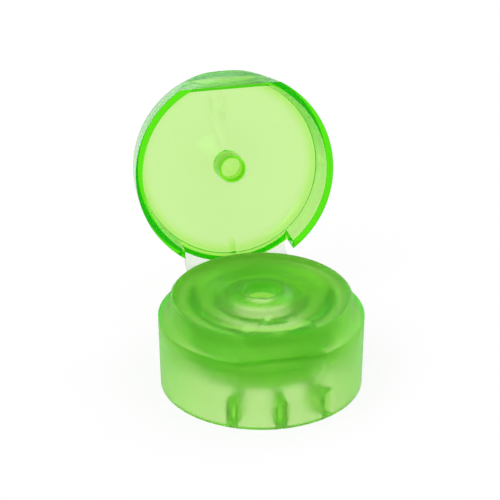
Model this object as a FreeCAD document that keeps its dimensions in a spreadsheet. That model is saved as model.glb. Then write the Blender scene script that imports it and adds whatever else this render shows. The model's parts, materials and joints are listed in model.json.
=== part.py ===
import FreeCAD, Part
import math
import os
import Sketcher

from FreeCAD import Placement, Rotation, Vector

# One-piece flip top cap for a 24 mm bottle neck, moulded with its lid on a living hinge.
# Z is up, the skirt stands on z = 0, the axis of the neck is Z, the thumb side is -Y
# and the hinge side is +Y. The lid is drawn shut and then swung open about the hinge line.

# Driving dimensions in millimetres and degrees.
SIZES = [
    # base: outer form
    ("closure_radius", 19.0),        # outside of the base at the ledge, and of the lid at its rim
    ("skirt_foot_radius", 18.7),     # outside of the skirt where it stands
    ("skirt_wall", 1.4),
    ("ledge_height", 13.85),         # the lid shuts down towards this ledge
    ("ledge_thickness", 1.4),
    ("ledge_edge_break", 0.2),
    ("deck_rise", 4.0),              # the deck stands this far above the ledge
    ("deck_radius", 16.7),
    ("deck_flat", 15.45),            # axis to the flat that is cut across the deck's front
    ("deck_wall", 1.4),
    ("deck_thickness", 1.45),
    ("deck_edge_break", 0.4),
    # base: dispensing orifice
    ("dish_radius", 7.85),
    ("dish_depth", 0.2),
    ("collar_foot_radius", 5.7),
    ("collar_top_radius", 4.7),
    ("collar_rise", 0.75),           # top of the collar above the deck
    ("collar_edge_break", 0.35),
    ("orifice_radius", 3.0),
    ("orifice_flare", 0.35),
    # base: neck skirt and what is inside
    ("neck_bore_radius", 12.1),
    ("neck_wall", 1.3),
    ("neck_foot_height", 5.7),
    ("neck_land_height", 13.9),      # the thread's bore ends here, at a slightly narrower land
    ("neck_land", 0.3),
    ("seal_radius", 8.9),
    ("seal_wall", 0.9),
    ("seal_depth", 2.2),
    ("rib_width", 1.6),
    ("rib_foot_height", 5.0),
    ("rib_spacing", 30.0),           # degrees from one rib to the next
    # thumb scoop, in base and lid
    ("scoop_radius", 23.0),
    ("scoop_wall", 1.4),
    ("base_scoop_flat", 17.05),      # axis to the scoop where it meets the ledge
    ("lid_scoop_flat", 16.4),        # axis to the scoop where it meets the lid's rim
    # lid, as it is when shut
    ("parting_gap", 0.15),           # between the ledge and the lid's rim
    ("lid_depth", 9.0),
    ("lid_crown_radius", 18.29),     # outside of the lid where its crown starts to round
    ("lid_wall", 1.3),
    ("lid_inner_crown_radius", 17.0),    # inside of the lid where its corner starts to round
    ("lid_top_thickness", 1.3),
    ("lid_corner_round", 1.5),
    ("lid_inner_round", 2.4),
    ("lid_front_lip", 0.53),
    ("notch_half_width", 10.45),
    ("notch_depth", 5.35),
    ("gusset_width", 0.8),
    ("gusset_reach", 2.9),
    # plug that shuts the orifice
    ("plug_tip_radius", 2.6),
    ("plug_root_radius", 2.85),
    ("plug_bore_radius", 2.1),
    ("plug_bore_depth", 4.0),
    ("plug_entry", 1.85),            # how far the plug enters the orifice
    # hinge
    ("hinge_inset", 0.6),            # the hinge line is this far inside the closure's outside
    ("open_angle", 104.1),           # the lid is modelled this far from shut
    ("strap_half_width", 9.75),
    ("strap_thickness", 0.35),
    ("strap_sag", 1.1),
    ("strap_clearance", 0.1),
    # the cutting solids run past the walls by this much
    ("run_out", 1.0),
]

# Straight steps in a rounded corner of a turned outline, and straight strips across the hinge strap.
ROUND_STEPS = 6
STRAP_STRIPS = 8

doc = FreeCAD.newDocument("flip_top_cap")


# ---------------------------------------------------------------- sheet and sketch helpers

def make_sheet():
    sheet = doc.addObject("Spreadsheet::Sheet", "sizes")
    for row, (name, value) in enumerate(SIZES, start=1):
        sheet.set(f"A{row}", name)
        sheet.set(f"B{row}", str(value))
        sheet.setAlias(f"B{row}", name)
    doc.recompute()
    return sheet


sheet = make_sheet()


def size(name):
    """The number in the sheet's cell of this name."""
    return float(getattr(sheet, name))


def tied(expression):
    """Writes the sheet's name in front of every size in an expression."""
    words = expression.replace("(", " ( ").replace(")", " ) ").split()
    names = {name for name, _ in SIZES}
    return " ".join(f"sizes.{word}" if word in names else word for word in words)


def value_of(expression):
    """The number that an expression of sizes comes to."""
    return float(sheet.evalExpression(tied(expression)))


def new_body(name):
    return doc.addObject("PartDesign::Body", name)


def origin_plane(body, role):
    for feature in body.Origin.OriginFeatures:
        if feature.Role == role:
            return feature
    raise ValueError(role)


def new_sketch(body, name, role="XY_Plane", height=None, turn=None):
    """A sketch on an origin plane, lifted along its normal and turned about it."""
    sketch = body.newObject("Sketcher::SketchObject", name)
    sketch.AttachmentSupport = (origin_plane(body, role), [""])
    sketch.MapMode = "FlatFace"
    if turn:
        sketch.AttachmentOffset = Placement(Vector(0, 0, 0), Rotation(Vector(0, 0, 1), value_of(turn)))
        sketch.setExpression("AttachmentOffset.Rotation.Angle", tied(turn))
    if height:
        sketch.setExpression("AttachmentOffset.Base.z", tied(height))
    return sketch


def place_point(sketch, index, end, across, along):
    """Ties one end of a line to its distances from the sketch's origin."""
    for kind, expression in (("DistanceX", across), ("DistanceY", along)):
        number = value_of(expression)
        row = sketch.addConstraint(Sketcher.Constraint(kind, -1, 1, index, end, number))
        sketch.setExpression(f"Constraints[{row}]", tied(expression))


def add_polygon(sketch, corners):
    """A closed outline of straight lines, each corner tied to expressions of sizes."""
    points = [Vector(value_of(across), value_of(along), 0) for across, along in corners]
    first = sketch.GeometryCount
    for start, end in zip(points, points[1:] + points[:1]):
        sketch.addGeometry(Part.LineSegment(start, end))
    count = len(points)
    for step in range(count):
        following = first + (step + 1) % count
        sketch.addConstraint(Sketcher.Constraint("Coincident", first + step, 2, following, 1))
    for step, (across, along) in enumerate(corners):
        place_point(sketch, first + step, 1, across, along)


def rounded_corner(across, along, radius):
    """Points of a quarter circle that rounds an outline's outer upper corner, from its side to its top."""
    turns = [math.pi / 2 * step / ROUND_STEPS for step in range(ROUND_STEPS + 1)]
    return [
        (f"{across} - {radius} * {1 - math.cos(turn):.5f}", f"{along} - {radius} * {1 - math.sin(turn):.5f}")
        for turn in turns
    ]


def add_circle(sketch, radius, across="0", along="0"):
    """A circle with its centre and radius tied to expressions of sizes."""
    centre = Vector(value_of(across), value_of(along), 0)
    index = sketch.addGeometry(Part.Circle(centre, Vector(0, 0, 1), value_of(radius)))
    if (across, along) == ("0", "0"):
        sketch.addConstraint(Sketcher.Constraint("Coincident", index, 3, -1, 1))
    else:
        place_point(sketch, index, 3, across, along)
    row = sketch.addConstraint(Sketcher.Constraint("Radius", index, value_of(radius)))
    sketch.setExpression(f"Constraints[{row}]", tied(radius))


def add_flatted_circle(sketch, radius, flat):
    """A circle about the origin, cut straight across on its -Y side."""
    reach = value_of(radius)
    depth = value_of(flat)
    low = math.asin(depth / reach)
    circle = Part.Circle(Vector(0, 0, 0), Vector(0, 0, 1), reach)
    arc = sketch.addGeometry(Part.ArcOfCircle(circle, -low, math.pi + low))
    half = math.sqrt(reach ** 2 - depth ** 2)
    line = sketch.addGeometry(Part.LineSegment(Vector(-half, -depth, 0), Vector(half, -depth, 0)))
    sketch.addConstraint(Sketcher.Constraint("Coincident", arc, 3, -1, 1))
    sketch.addConstraint(Sketcher.Constraint("Coincident", arc, 2, line, 1))
    sketch.addConstraint(Sketcher.Constraint("Coincident", arc, 1, line, 2))
    sketch.addConstraint(Sketcher.Constraint("Horizontal", line))
    row = sketch.addConstraint(Sketcher.Constraint("Radius", arc, reach))
    sketch.setExpression(f"Constraints[{row}]", tied(radius))
    row = sketch.addConstraint(Sketcher.Constraint("DistanceY", line, 1, -1, 1, depth))
    sketch.setExpression(f"Constraints[{row}]", tied(flat))


# ---------------------------------------------------------------- feature helpers

def add_revolution(body, name, corners):
    """A full turn about Z of an outline given as radius and height."""
    sketch = new_sketch(body, f"{name}_sketch", "XZ_Plane")
    add_polygon(sketch, corners)
    feature = body.newObject("PartDesign::Revolution", name)
    feature.Profile = sketch
    feature.ReferenceAxis = (sketch, ["V_Axis"])
    feature.Angle = 360
    doc.recompute()


def add_pad(body, name, sketch, length):
    feature = body.newObject("PartDesign::Pad", name)
    feature.Profile = sketch
    feature.setExpression("Length", tied(length))
    doc.recompute()
    return feature


def add_pocket(body, name, sketch, length, both_ways=False):
    """A pocket that must take material away, whichever way its sketch faces."""
    before = body.Shape.Volume
    feature = body.newObject("PartDesign::Pocket", name)
    feature.Profile = sketch
    feature.Midplane = both_ways
    feature.setExpression("Length", tied(length))
    doc.recompute()
    if body.Shape.Volume > before - 1e-6:
        feature.Reversed = True
        doc.recompute()
    return feature


def edges_where(shape, wanted):
    """Names of the edges for which wanted(edge) is true."""
    return [f"Edge{row}" for row, edge in enumerate(shape.Edges, start=1) if wanted(edge)]


def flat_at(edge, height):
    """True where the whole edge lies at one height."""
    box = edge.BoundBox
    return abs(box.ZMin - height) < 1e-4 and abs(box.ZMax - height) < 1e-4


def farthest(edge):
    """The greatest distance of an edge's ends from the Z axis."""
    return max(math.hypot(vertex.X, vertex.Y) for vertex in edge.Vertexes)


def add_chamfer(body, name, wanted, length):
    """A chamfer on the edges for which wanted(edge) is true."""
    base = body.Tip
    feature = body.newObject("PartDesign::Chamfer", name)
    feature.Base = (base, edges_where(base.Shape, wanted))
    feature.setExpression("Size", tied(length))
    doc.recompute()


def cut(name, solid, tool):
    """A finished part: a solid with a core or a tool taken out of it."""
    feature = doc.addObject("Part::Cut", name)
    feature.Base = solid
    feature.Tool = tool
    doc.recompute()
    return feature


# Heights that several parts share, as expressions of the sizes.
DECK_TOP = "ledge_height + deck_rise"
DECK_UNDERSIDE = "ledge_height + deck_rise - deck_thickness"
COLLAR_TOP = "ledge_height + deck_rise + collar_rise"
CAVITY_TOP = "ledge_height - ledge_thickness"
LID_RIM = "ledge_height + parting_gap"
LID_TOP = "ledge_height + parting_gap + lid_depth"
LID_PANEL = "ledge_height + parting_gap + lid_depth - lid_top_thickness"
NOTCH_END = "ledge_height + parting_gap + notch_depth"
PLUG_TIP = "ledge_height + deck_rise + collar_rise - plug_entry"


# ---------------------------------------------------------------- base

def cut_scoop(body, name, flat, height, radius):
    """Takes a level cylinder, square to the front, out of a body."""
    sketch = new_sketch(body, f"{name}_sketch", "YZ_Plane")
    add_circle(sketch, radius, f"0 - {flat} - scoop_radius", height)
    return add_pocket(body, name, sketch, "4 * closure_radius", both_ways=True)


def make_base_form():
    """The outside of the base: drafted skirt, ledge, flatted deck, collar and thumb scoop."""
    body = new_body("base_form")
    add_revolution(body, "skirt", [
        ("0", "0"),
        ("skirt_foot_radius", "0"),
        ("closure_radius", "ledge_height - ledge_edge_break"),
        ("closure_radius - ledge_edge_break", "ledge_height"),
        ("0", "ledge_height"),
    ])
    outline = new_sketch(body, "deck_sketch", height="ledge_height")
    add_flatted_circle(outline, "deck_radius", "deck_flat")
    add_pad(body, "deck", outline, "deck_rise")
    dish = new_sketch(body, "dish_sketch", height=DECK_TOP)
    add_circle(dish, "dish_radius")
    add_pocket(body, "dish", dish, "dish_depth")
    add_revolution(body, "collar", [
        ("0", DECK_UNDERSIDE),
        ("collar_foot_radius", DECK_UNDERSIDE),
        ("collar_foot_radius", f"{DECK_TOP} - dish_depth"),
        ("collar_top_radius", f"{COLLAR_TOP} - collar_edge_break"),
        ("collar_top_radius - collar_edge_break", COLLAR_TOP),
        ("0", COLLAR_TOP),
    ])
    cut_scoop(body, "thumb_scoop", "base_scoop_flat", "ledge_height", "scoop_radius")
    add_chamfer(body, "deck_edge", on_deck_edge, "deck_edge_break")
    return body


def on_deck_edge(edge):
    """True on the outline of the deck's top face, and not round the dish."""
    return flat_at(edge, value_of(DECK_TOP)) and farthest(edge) > size("dish_radius") + 0.01


def make_base_core():
    """The space inside the base: under the skirt, in the neck skirt and through the orifice."""
    body = new_body("base_core")
    seal_bore = "seal_radius - seal_wall"
    add_revolution(body, "bore_and_cavity", [
        ("0", "0 - run_out"),
        ("skirt_foot_radius - skirt_wall", "0 - run_out"),
        ("skirt_foot_radius - skirt_wall", "0"),
        ("closure_radius - skirt_wall", CAVITY_TOP),
        ("neck_bore_radius + neck_wall", CAVITY_TOP),
        ("neck_bore_radius + neck_wall", "neck_foot_height"),
        ("neck_bore_radius", "neck_foot_height"),
        ("neck_bore_radius", "neck_land_height"),
        ("neck_bore_radius - neck_land", "neck_land_height"),
        ("neck_bore_radius - neck_land", DECK_UNDERSIDE),
        ("seal_radius", DECK_UNDERSIDE),
        ("seal_radius", f"{DECK_UNDERSIDE} - seal_depth"),
        (seal_bore, f"{DECK_UNDERSIDE} - seal_depth"),
        (seal_bore, DECK_UNDERSIDE),
        ("orifice_radius", DECK_UNDERSIDE),
        ("orifice_radius", f"{COLLAR_TOP} - orifice_flare"),
        ("orifice_radius + orifice_flare", COLLAR_TOP),
        ("orifice_radius + orifice_flare", f"{COLLAR_TOP} + run_out"),
        ("0", f"{COLLAR_TOP} + run_out"),
    ])
    under_deck = new_sketch(body, "under_deck_sketch", height=f"{CAVITY_TOP} - run_out")
    add_flatted_circle(under_deck, "deck_radius - deck_wall", "deck_flat - deck_wall")
    add_circle(under_deck, "neck_bore_radius + neck_wall")
    add_pad(body, "under_deck", under_deck, "deck_rise + ledge_thickness - deck_thickness + run_out")
    cut_scoop(body, "scoop_backing", "base_scoop_flat", "ledge_height", "scoop_radius + scoop_wall")
    add_neck_ribs(body)
    return body


def add_neck_ribs(body):
    """Leaves three ribs standing between the neck skirt and the front wall."""
    sketch = new_sketch(body, "rib_sketch", height="rib_foot_height", turn="0 - rib_spacing")
    half = "rib_width / 2"
    root = "0 - neck_bore_radius - neck_wall / 2"
    tip = "0 - closure_radius"
    add_polygon(sketch, [
        (f"0 - {half}", tip),
        (half, tip),
        (half, root),
        (f"0 - {half}", root),
    ])
    slot = add_pocket(body, "rib", sketch, "ledge_height + deck_rise")
    pattern = body.newObject("PartDesign::PolarPattern", "ribs")
    pattern.Originals = [slot]
    pattern.Axis = (sketch, ["N_Axis"])
    pattern.Occurrences = 3
    pattern.setExpression("Angle", tied("2 * rib_spacing"))
    body.Tip = pattern
    doc.recompute()


def make_base():
    base = cut("closure_base", make_base_form(), make_base_core())
    base.Label = "closure_base"
    return base


# ---------------------------------------------------------------- lid

def make_lid_form():
    """The outside of the lid as it is when shut, with its rounded crown and thumb scoop."""
    body = new_body("lid_form")
    add_revolution(body, "crown", [
        ("0", LID_RIM),
        ("closure_radius", LID_RIM),
        *rounded_corner("lid_crown_radius", LID_TOP, "lid_corner_round"),
        ("0", LID_TOP),
    ])
    cut_scoop(body, "lid_scoop", "lid_scoop_flat", LID_RIM, "scoop_radius")
    return body


def make_lid_core():
    """The hollow of the lid, straight across behind the thumb scoop."""
    body = new_body("lid_core")
    add_revolution(body, "hollow", [
        ("0", f"{LID_RIM} - run_out"),
        ("closure_radius - lid_wall", f"{LID_RIM} - run_out"),
        ("closure_radius - lid_wall", LID_RIM),
        *rounded_corner("lid_inner_crown_radius", LID_PANEL, "lid_inner_round"),
        ("0", LID_PANEL),
    ])
    front = new_sketch(body, "front_sketch", height=f"{LID_RIM} - 2 * run_out")
    flat = "0 - lid_scoop_flat + lid_front_lip"
    add_polygon(front, [
        ("0 - closure_radius", "0 - 2 * closure_radius"),
        ("closure_radius", "0 - 2 * closure_radius"),
        ("closure_radius", flat),
        ("0 - closure_radius", flat),
    ])
    add_pocket(body, "front_wall", front, "lid_depth + 3 * run_out")
    return body


def make_notch_tool():
    """The opening in the lid's back wall that leaves room for the hinge strap."""
    body = new_body("notch_tool")
    sketch = new_sketch(body, "notch_sketch", height=f"{LID_RIM} - run_out")
    near = "lid_inner_crown_radius / 2"
    far = "2 * closure_radius"
    add_polygon(sketch, [
        ("0 - notch_half_width", near),
        ("notch_half_width", near),
        ("notch_half_width", far),
        ("0 - notch_half_width", far),
    ])
    add_pad(body, "notch", sketch, "notch_depth + run_out")
    return body


def make_plug():
    """The tapered, hollow plug under the lid's panel that shuts the orifice."""
    body = new_body("plug")
    seat = f"{LID_PANEL} + lid_top_thickness / 2"
    add_revolution(body, "plug_wall", [
        ("0", PLUG_TIP),
        ("plug_tip_radius", PLUG_TIP),
        ("plug_root_radius", LID_PANEL),
        ("plug_root_radius", seat),
        ("0", seat),
    ])
    bore = new_sketch(body, "plug_bore_sketch", height=PLUG_TIP)
    add_circle(bore, "plug_bore_radius")
    hole = add_pocket(body, "plug_bore", bore, "plug_bore_depth")
    hole.Reversed = True
    doc.recompute()
    return body


def make_gusset():
    """The small web that stiffens the corner between the lid's panel and the hinge wall."""
    body = new_body("gusset")
    sketch = new_sketch(body, "gusset_sketch", "YZ_Plane")
    wall = "lid_inner_crown_radius + lid_wall / 2"
    panel = f"{LID_PANEL} + lid_top_thickness / 2"
    add_polygon(sketch, [
        (wall, NOTCH_END),
        (wall, panel),
        ("lid_inner_crown_radius - gusset_reach", panel),
        ("lid_inner_crown_radius - gusset_reach", LID_PANEL),
        ("lid_inner_crown_radius", NOTCH_END),
    ])
    web = add_pad(body, "web", sketch, "gusset_width")
    web.Midplane = True
    doc.recompute()
    return body


def swing_open():
    """The turn about the hinge line that takes the shut lid to where it is modelled."""
    distance = size("closure_radius") - size("hinge_inset")
    pivot = Vector(0, distance, size("ledge_height") + size("parting_gap") / 2)
    return Placement(Vector(0, 0, 0), Rotation(Vector(1, 0, 0), -size("open_angle")), pivot)


def make_lid():
    shell = cut("lid_shell", make_lid_form(), make_lid_core())
    webbed = doc.addObject("Part::MultiFuse", "lid_inside")
    webbed.Shapes = [shell, make_plug(), make_gusset()]
    doc.recompute()
    lid = cut("lid", webbed, make_notch_tool())
    lid.Label = "lid"
    lid.Placement = swing_open()
    doc.recompute()
    return lid


# ---------------------------------------------------------------- hinge strap

def strap_section(across):
    """The outline of the strap, from base to lid, in the plane at one distance from its middle."""
    clear = size("strap_clearance")
    thick = size("strap_thickness")
    hinge = swing_open()
    wall = size("closure_radius")
    inner = math.sqrt(wall ** 2 - across ** 2) + clear
    top = size("ledge_height") - size("ledge_edge_break")
    notch_end = value_of(NOTCH_END) - clear
    draft = (wall - size("lid_crown_radius")) / (size("lid_depth") - size("lid_corner_round"))
    outside = wall - draft * size("notch_depth")

    def on_lid(radius):
        return hinge.multVec(Vector(across, math.sqrt(radius ** 2 - across ** 2), notch_end))

    upper_start = Vector(across, inner, top)
    lower_start = Vector(across, inner, top - thick)
    upper_end = on_lid(outside - thick)
    lower_end = on_lid(outside)
    drop = Vector(0, 0, size("strap_sag"))
    upper_middle = (upper_start + upper_end) * 0.5 - drop
    lower_middle = (lower_start + lower_end) * 0.5 - drop
    corners = [upper_start, upper_middle, upper_end, lower_end, lower_middle, lower_start]
    return Part.makePolygon(corners + [upper_start])


def make_strap():
    """The film of the living hinge, slack between the ledge and the end of the lid's notch."""
    half = size("strap_half_width")
    shares = [2 * step / STRAP_STRIPS - 1 for step in range(STRAP_STRIPS + 1)]
    sections = [strap_section(half * share) for share in shares]
    strap = doc.addObject("Part::Feature", "hinge_strap")
    strap.Shape = Part.makeLoft(sections, True, True)
    strap.Label = "hinge_strap"
    return strap


# ---------------------------------------------------------------- build, check, write

def check_document():
    for item in doc.Objects:
        if "Invalid" in item.State or "Error" in item.State:
            raise RuntimeError(f"{item.Name} failed: {item.State}")


def write_parts(parts):
    check_document()
    for part in parts:
        if part.Shape.isNull() or not part.Shape.isValid() or len(part.Shape.Solids) != 1:
            raise RuntimeError(f"{part.Label} is not one valid solid")
    os.makedirs("parts", exist_ok=True)
    for part in parts:
        part.Shape.exportStep(f"parts/{part.Label}.step")
        print(part.Label, round(part.Shape.Volume, 1), "mm3")


parts = [make_base(), make_lid(), make_strap()]
doc.recompute()
write_parts(parts)
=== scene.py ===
import json
import math

import bmesh
import bpy
from mathutils import Matrix, Vector


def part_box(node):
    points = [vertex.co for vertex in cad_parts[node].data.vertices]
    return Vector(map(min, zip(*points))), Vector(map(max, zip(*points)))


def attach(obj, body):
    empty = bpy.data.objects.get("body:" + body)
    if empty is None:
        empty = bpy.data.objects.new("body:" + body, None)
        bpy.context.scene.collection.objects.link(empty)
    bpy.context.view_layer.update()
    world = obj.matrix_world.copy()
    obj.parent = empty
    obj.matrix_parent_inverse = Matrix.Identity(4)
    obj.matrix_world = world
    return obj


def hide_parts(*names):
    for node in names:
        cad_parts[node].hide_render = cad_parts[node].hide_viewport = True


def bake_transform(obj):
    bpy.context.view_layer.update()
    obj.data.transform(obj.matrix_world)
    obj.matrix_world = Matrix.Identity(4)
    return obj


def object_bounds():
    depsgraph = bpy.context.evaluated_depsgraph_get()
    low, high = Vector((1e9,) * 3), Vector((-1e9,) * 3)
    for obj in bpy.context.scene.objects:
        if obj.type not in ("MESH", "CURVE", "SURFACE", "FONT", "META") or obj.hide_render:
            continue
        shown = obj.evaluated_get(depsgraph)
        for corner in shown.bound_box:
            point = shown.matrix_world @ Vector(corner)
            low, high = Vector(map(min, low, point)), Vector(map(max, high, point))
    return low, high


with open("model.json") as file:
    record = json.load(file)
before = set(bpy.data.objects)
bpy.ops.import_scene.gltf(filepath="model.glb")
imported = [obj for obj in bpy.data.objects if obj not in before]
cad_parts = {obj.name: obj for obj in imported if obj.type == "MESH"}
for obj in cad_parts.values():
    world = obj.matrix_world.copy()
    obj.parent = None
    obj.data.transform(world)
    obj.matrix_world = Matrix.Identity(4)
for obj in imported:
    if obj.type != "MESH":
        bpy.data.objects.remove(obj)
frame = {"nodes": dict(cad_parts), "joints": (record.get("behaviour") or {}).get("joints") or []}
CAD_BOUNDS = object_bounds()

MM = 0.001

# Edges sharper than this many degrees stay crisp; the film's only sharp edges are its rim.
CREASE_ANGLE = 32
FILM_CREASE_ANGLE = 50
WELD_DISTANCE = 0.001

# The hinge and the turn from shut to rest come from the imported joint.
HINGE = frame["joints"][0]
HINGE_POINT = Vector(HINGE["pos_m"])
OPENING = math.radians(-HINGE["range_deg"][0])
OPEN_TURN = (
    Matrix.Translation(HINGE_POINT)
    @ Matrix.Rotation(OPENING, 4, Vector(HINGE["axis"]))
    @ Matrix.Translation(-HINGE_POINT)
)

# Sizes that the visual pieces share with the part, in millimetres.
WALL_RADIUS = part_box("closure_base")[1].x / MM
LEDGE_HEIGHT = 13.85
LID_RIM = 14.0
DECK_TOP = 17.85
PANEL_HEIGHT = 21.7
NOTCH_DEPTH = 5.35
LID_DRAFT = 0.71 / 7.5

# Neck thread: an 8-per-inch right-hand ridge on the neck's bore.
BORE_RADIUS = 12.1
THREAD_PITCH = 3.175
THREAD_TURNS = 1.5
THREAD_START = 7.2
THREAD_DEPTH = 0.85
THREAD_ROOT = 1.7
THREAD_CREST = 0.7
THREAD_SINK = 0.15
THREAD_STEPS = 96
THREAD_FADE = 0.08              # share of its length over which each end tapers away

# Gate recess in the deck.
GATE_DISTANCE = 11.7
GATE_HALF = (2.3, 1.25, 0.35)

# Plain mould number on the lid's panel, placed as on the shut lid.
NUMBER = "12"
CAPITAL_SHARE = 0.7             # a figure's height as a share of the font's size
NUMBER_PLACE = (-1.5, -11.4)
NUMBER_HEIGHT = 3.0
NUMBER_RELIEF = 0.18

# Hinge film.
FILM_HALF_WIDTH = 9.75
FILM_FLARE = 0.6
FILM_SAG = 1.1
FILM_ROOT_DROP = 0.3            # the film leaves the wall this far under the ledge
FILM_THICKNESS = 0.22
FILM_ACROSS = 48
FILM_ALONG = 24


# ---------------------------------------------------------------- mesh helpers

def new_object(name, mesh):
    obj = bpy.data.objects.new(name, mesh)
    bpy.context.scene.collection.objects.link(obj)
    return obj


def object_from(name, points, faces):
    """A mesh object from points in millimetres."""
    mesh = bpy.data.meshes.new(name)
    mesh.from_pydata([Vector(point) * MM for point in points], [], faces)
    mesh.update()
    return new_object(name, mesh)


def cad_copy(name, node):
    """A welded copy of a CAD node's mesh, to be dressed with finer detail."""
    obj = new_object(name, frame["nodes"][node].data.copy())
    obj.data.materials.clear()
    bm = bmesh.new()
    bm.from_mesh(obj.data)
    bmesh.ops.remove_doubles(bm, verts=bm.verts, dist=WELD_DISTANCE * MM)
    bm.to_mesh(obj.data)
    bm.free()
    return obj


def combine(obj, tool, operation):
    """Joins a tool to a piece, or cuts it out, and removes the tool."""
    modifier = obj.modifiers.new(operation, "BOOLEAN")
    modifier.operation = operation
    modifier.solver = "EXACT"
    modifier.object = tool
    bpy.context.view_layer.objects.active = obj
    bpy.ops.object.modifier_apply(modifier=modifier.name)
    bpy.data.objects.remove(tool)


def shade(obj, angle):
    """Smooth shading with creases where faces meet at more than the angle."""
    mesh = obj.data
    mesh.polygons.foreach_set("use_smooth", [True] * len(mesh.polygons))
    mesh.set_sharp_from_angle(angle=math.radians(angle))


# ---------------------------------------------------------------- materials

# Polypropylene's skin: how its roughness varies, and its faint waviness.
REFRACTION = 1.49
REFLECTION_LEVEL = 0.25
ROUGHNESS_SPREAD = 0.15
ROUGHNESS_SCALE = 260
WAVE_SCALE = 420
WAVE_STRENGTH = 0.12
WAVE_HEIGHT = 0.05


def noise_value(nodes, links, scale, low, high, detail=3.0):
    """A soft procedural variation between two values."""
    coordinates = nodes.new("ShaderNodeTexCoord")
    noise = nodes.new("ShaderNodeTexNoise")
    noise.inputs["Scale"].default_value = scale
    noise.inputs["Detail"].default_value = detail
    spread = nodes.new("ShaderNodeMapRange")
    spread.inputs["To Min"].default_value = low
    spread.inputs["To Max"].default_value = high
    links.new(coordinates.outputs["Object"], noise.inputs["Vector"])
    links.new(noise.outputs["Fac"], spread.inputs["Value"])
    return spread.outputs["Result"]


def moulded_plastic(name, tint, gleam, glow, absorbed, density, blur, milk):
    """Translucent polypropylene: coloured depth, with a milky share that scatters the light behind it."""
    material = bpy.data.materials.new(name)
    material.use_nodes = True
    nodes, links = material.node_tree.nodes, material.node_tree.links
    shader = nodes["Principled BSDF"]
    shader.inputs["Base Color"].default_value = (*tint, 1)
    shader.inputs["IOR"].default_value = REFRACTION
    shader.inputs["Transmission Weight"].default_value = 1
    shader.inputs["Specular IOR Level"].default_value = REFLECTION_LEVEL
    shader.inputs["Specular Tint"].default_value = (*gleam, 1)
    least = blur * (1 - ROUGHNESS_SPREAD)
    most = blur * (1 + ROUGHNESS_SPREAD)
    links.new(noise_value(nodes, links, ROUGHNESS_SCALE, least, most), shader.inputs["Roughness"])
    bump = nodes.new("ShaderNodeBump")
    bump.inputs["Strength"].default_value = WAVE_STRENGTH
    bump.inputs["Distance"].default_value = WAVE_HEIGHT * MM
    links.new(noise_value(nodes, links, WAVE_SCALE, 0, 1, 2.0), bump.inputs["Height"])
    links.new(bump.outputs["Normal"], shader.inputs["Normal"])
    volume = nodes.new("ShaderNodeVolumeAbsorption")
    volume.inputs["Color"].default_value = (*absorbed, 1)
    volume.inputs["Density"].default_value = density
    links.new(volume.outputs["Volume"], nodes["Material Output"].inputs["Volume"])
    scatter = nodes.new("ShaderNodeBsdfTranslucent")
    scatter.inputs["Color"].default_value = (*glow, 1)
    mix = nodes.new("ShaderNodeMixShader")
    mix.inputs["Fac"].default_value = milk
    links.new(shader.outputs["BSDF"], mix.inputs[1])
    links.new(scatter.outputs["BSDF"], mix.inputs[2])
    links.new(mix.outputs["Shader"], nodes["Material Output"].inputs["Surface"])
    return material


# ---------------------------------------------------------------- base

def thread_ridge():
    """The helical ridge inside the neck skirt, tapered away at both ends."""
    points, faces = [], []
    for step in range(THREAD_STEPS + 1):
        share = step / THREAD_STEPS
        fade = min(1.0, share / THREAD_FADE, (1 - share) / THREAD_FADE)
        turn = 2 * math.pi * THREAD_TURNS * share
        height = THREAD_START + THREAD_PITCH * THREAD_TURNS * share
        crest = BORE_RADIUS - THREAD_DEPTH * fade
        root = BORE_RADIUS + THREAD_SINK
        section = (
            (root, -THREAD_ROOT / 2),
            (crest, -THREAD_CREST / 2),
            (crest, THREAD_CREST / 2),
            (root, THREAD_ROOT / 2),
        )
        for radius, rise in section:
            points.append((radius * math.cos(turn), radius * math.sin(turn), height + rise))
    corners = len(section)
    for step in range(THREAD_STEPS):
        for side in range(corners):
            a = step * corners + side
            b = step * corners + (side + 1) % corners
            faces.append((a, b, b + corners, a + corners))
    faces.append((3, 2, 1, 0))
    last = THREAD_STEPS * corners
    faces.append((last, last + 1, last + 2, last + 3))
    ridge = object_from("thread_ridge", points, faces)
    bm = bmesh.new()
    bm.from_mesh(ridge.data)
    bmesh.ops.recalc_face_normals(bm, faces=bm.faces)
    bm.to_mesh(ridge.data)
    bm.free()
    return ridge


def gate_tool():
    """The oval form that dents the deck where the plastic was let in."""
    mesh = bpy.data.meshes.new("gate_tool")
    bm = bmesh.new()
    bmesh.ops.create_uvsphere(bm, u_segments=48, v_segments=24, radius=MM)
    bmesh.ops.scale(bm, vec=Vector(GATE_HALF), verts=bm.verts)
    bmesh.ops.translate(bm, vec=Vector((0, -GATE_DISTANCE, DECK_TOP)) * MM, verts=bm.verts)
    bm.to_mesh(mesh)
    bm.free()
    return new_object("gate_tool", mesh)


def make_base(material):
    """The base with its neck thread and the gate recess in its deck."""
    base = cad_copy("closure_moulding", "closure_base")
    combine(base, gate_tool(), "DIFFERENCE")
    combine(base, thread_ridge(), "UNION")
    shade(base, CREASE_ANGLE)
    base.data.materials.append(material)
    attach(base, "base")
    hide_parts("closure_base")


# ---------------------------------------------------------------- lid

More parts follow.
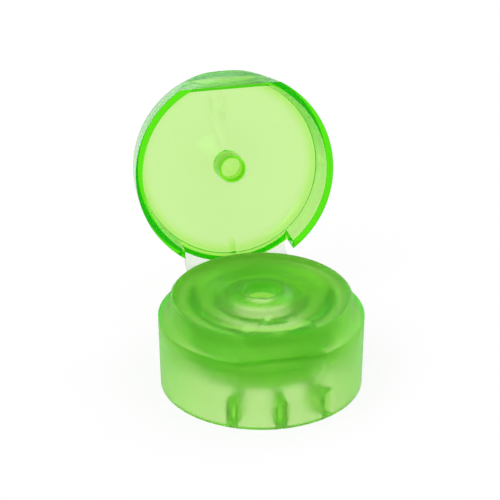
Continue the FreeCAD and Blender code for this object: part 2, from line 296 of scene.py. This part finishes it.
def number_tool():
    """Plain raised mould number on the inside of the lid's panel."""
    curve = bpy.data.curves.new("mould_number", "FONT")
    curve.body = NUMBER
    curve.size = NUMBER_HEIGHT / CAPITAL_SHARE * MM
    curve.extrude = NUMBER_RELIEF * MM
    curve.align_x = "CENTER"
    curve.align_y = "CENTER"
    text = new_object("mould_number", curve)
    mesh = bpy.data.meshes.new_from_object(text)
    bpy.data.objects.remove(text)
    place = Vector((*NUMBER_PLACE, PANEL_HEIGHT)) * MM
    facing = Matrix.Rotation(math.pi, 4, "Y") @ Matrix.Rotation(math.pi, 4, "Z")
    mesh.transform(OPEN_TURN @ Matrix.Translation(place) @ facing)
    return new_object("mould_number", mesh)


def make_lid(material):
    """The lid with the mould number on its panel."""
    lid = cad_copy("lid_moulding", "lid")
    combine(lid, number_tool(), "UNION")
    shade(lid, CREASE_ANGLE)
    lid.data.materials.append(material)
    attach(lid, "lid")
    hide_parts("lid")


# ---------------------------------------------------------------- hinge film

def film_point(across, along):
    """A point of the film, from the base's wall at 0 to the end of the lid's notch at 1."""
    wide = across * (FILM_HALF_WIDTH + FILM_FLARE * (1 - along))
    start = Vector((wide, math.sqrt(WALL_RADIUS ** 2 - wide ** 2), LEDGE_HEIGHT - FILM_ROOT_DROP))
    outside = WALL_RADIUS - LID_DRAFT * NOTCH_DEPTH
    shut = Vector((wide, math.sqrt(outside ** 2 - wide ** 2), LID_RIM + NOTCH_DEPTH))
    end = OPEN_TURN @ (shut * MM) / MM
    sag = Vector((0, 0, -4 * FILM_SAG * along * (1 - along)))
    return start.lerp(end, along) + sag


def make_film(material):
    """The hinge film from base to lid, shaped for the lid's rest pose."""
    points = [
        film_point(2 * column / FILM_ACROSS - 1, row / FILM_ALONG)
        for row in range(FILM_ALONG + 1)
        for column in range(FILM_ACROSS + 1)
    ]
    width = FILM_ACROSS + 1
    faces = []
    for row in range(FILM_ALONG):
        for column in range(FILM_ACROSS):
            a = row * width + column
            faces.append((a, a + 1, a + 1 + width, a + width))
    film = object_from("hinge_film", points, faces)
    solid = film.modifiers.new("thickness", "SOLIDIFY")
    solid.thickness = FILM_THICKNESS * MM
    solid.offset = 0
    bpy.context.view_layer.objects.active = film
    bpy.ops.object.modifier_apply(modifier=solid.name)
    shade(film, FILM_CREASE_ANGLE)
    film.data.materials.append(material)
    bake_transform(film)
    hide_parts("hinge_strap")


# ---------------------------------------------------------------- studio

def ray_switch(nodes, links, names):
    """1 for a ray of any of these kinds, otherwise 0."""
    path = nodes.new("ShaderNodeLightPath")
    total = path.outputs[names[0]]
    for name in names[1:]:
        either = nodes.new("ShaderNodeMath")
        either.operation = "MAXIMUM"
        links.new(total, either.inputs[0])
        links.new(path.outputs[name], either.inputs[1])
        total = either.outputs[0]
    return total


SEEN = ("Is Camera Ray", "Is Glossy Ray", "Is Transmission Ray")
WORLD_LIGHT = 0.95
FLOOR_GLOW = 0.85
FLOOR_GREY = 0.9
FLOOR_HALF_SIDE = 3000
FLOOR_DROP = 0.02               # keeps the floor just clear of the cap's foot
LAMP_AIM = (0, 0, 0.02)


def make_world():
    """Even white light, with a pure white surround for what the camera, gloss and clear plastic see."""
    world = bpy.data.worlds.new("studio")
    bpy.context.scene.world = world
    world.use_nodes = True
    nodes, links = world.node_tree.nodes, world.node_tree.links
    lit = nodes["Background"]
    lit.inputs["Color"].default_value = (1, 1, 1, 1)
    lit.inputs["Strength"].default_value = WORLD_LIGHT
    shown = nodes.new("ShaderNodeBackground")
    shown.inputs["Color"].default_value = (1, 1, 1, 1)
    mix = nodes.new("ShaderNodeMixShader")
    links.new(ray_switch(nodes, links, SEEN), mix.inputs["Fac"])
    links.new(lit.outputs["Background"], mix.inputs[1])
    links.new(shown.outputs["Background"], mix.inputs[2])
    links.new(mix.outputs["Shader"], nodes["World Output"].inputs["Surface"])


def make_floor():
    """A pale floor that shows white but keeps the cap's shadow."""
    material = bpy.data.materials.new("studio_floor")
    material.use_nodes = True
    nodes, links = material.node_tree.nodes, material.node_tree.links
    matt = nodes["Principled BSDF"]
    matt.inputs["Base Color"].default_value = (FLOOR_GREY, FLOOR_GREY, FLOOR_GREY, 1)
    matt.inputs["Roughness"].default_value = 1
    glow = nodes.new("ShaderNodeEmission")
    share = nodes.new("ShaderNodeMath")
    share.operation = "MULTIPLY"
    share.inputs[1].default_value = FLOOR_GLOW
    links.new(ray_switch(nodes, links, SEEN), share.inputs[0])
    mix = nodes.new("ShaderNodeMixShader")
    links.new(share.outputs[0], mix.inputs["Fac"])
    links.new(matt.outputs["BSDF"], mix.inputs[1])
    links.new(glow.outputs["Emission"], mix.inputs[2])
    links.new(mix.outputs["Shader"], nodes["Material Output"].inputs["Surface"])
    side = FLOOR_HALF_SIDE
    corners = [(-side, -side, 0), (side, -side, 0), (side, side, 0), (-side, side, 0)]
    floor = object_from("floor", corners, [(0, 1, 2, 3)])
    floor.location.z = CAD_BOUNDS[0][2] - FLOOR_DROP * MM
    floor.data.materials.append(material)


def soft_light(name, place, size, power):
    """A square lamp that looks at the cap."""
    lamp = bpy.data.lights.new(name, "AREA")
    lamp.size = size
    lamp.energy = power
    obj = new_object(name, lamp)
    obj.location = place
    aim = Vector(LAMP_AIM) - obj.location
    obj.rotation_euler = aim.to_track_quat("-Z", "Y").to_euler()


# Camera: degrees, and millimetres from a point on the neck's axis.
CAMERA_AZIMUTH = -12.2
CAMERA_ELEVATION = 27.3
CAMERA_DISTANCE = 475
CAMERA_FOCUS = 185.4
CAMERA_SENSOR = 36
CAMERA_HEIGHT = 10
CAMERA_AIM = (-2.08, 14.9)      # right and up from that point, across the view


def make_camera():
    """A long lens in front of the cap, a little to its left and above."""
    azimuth, elevation = math.radians(CAMERA_AZIMUTH), math.radians(CAMERA_ELEVATION)
    back = Vector((
        math.sin(azimuth) * math.cos(elevation),
        -math.cos(azimuth) * math.cos(elevation),
        math.sin(elevation),
    ))
    right = Vector((math.cos(azimuth), math.sin(azimuth), 0))
    up = back.cross(right)
    aim = Vector((0, 0, CAMERA_HEIGHT)) + right * CAMERA_AIM[0] + up * CAMERA_AIM[1]
    lens = bpy.data.cameras.new("camera")
    lens.sensor_width = CAMERA_SENSOR
    lens.lens = CAMERA_FOCUS
    camera = new_object("camera", lens)
    turn = Matrix((right, up, back)).transposed().to_4x4()
    camera.matrix_world = Matrix.Translation((aim + back * CAMERA_DISTANCE) * MM) @ turn
    bpy.context.scene.camera = camera


# ---------------------------------------------------------------- scene

make_camera()
make_world()
make_floor()
soft_light("key", (-0.35, -0.25, 0.5), 0.4, 1.0)
soft_light("rim", (0.4, 0.3, 0.35), 0.25, 0.4)

BASE_GREEN = moulded_plastic(
    "green_polypropylene",
    tint=(0.86, 1.0, 0.62), gleam=(0.35, 1.0, 0.25), glow=(0.5, 1.0, 0.2),
    absorbed=(0.55, 1.0, 0.0), density=300, blur=0.4, milk=0.12,
)
LID_GREEN = moulded_plastic(
    "green_lid_polypropylene",
    tint=(0.88, 0.95, 0.82), gleam=(0.3, 0.95, 0.2), glow=(0.3, 1.0, 0.08),
    absorbed=(0.62, 0.98, 0.0), density=600, blur=0.1, milk=0.05,
)
FILM = moulded_plastic(
    "clear_hinge_film",
    tint=(0.97, 1.0, 0.95), gleam=(1.0, 1.0, 1.0), glow=(0.9, 1.0, 0.85),
    absorbed=(0.8, 0.98, 0.6), density=200, blur=0.3, milk=0.1,
)
make_base(BASE_GREEN)
make_lid(LID_GREEN)
make_film(FILM)

bpy.context.scene.view_settings.view_transform = "Standard"

# Light needs many turns to find its way out of clear nested walls.
cycles = bpy.context.scene.cycles
cycles.max_bounces = 32
cycles.transmission_bounces = 32
cycles.glossy_bounces = 16
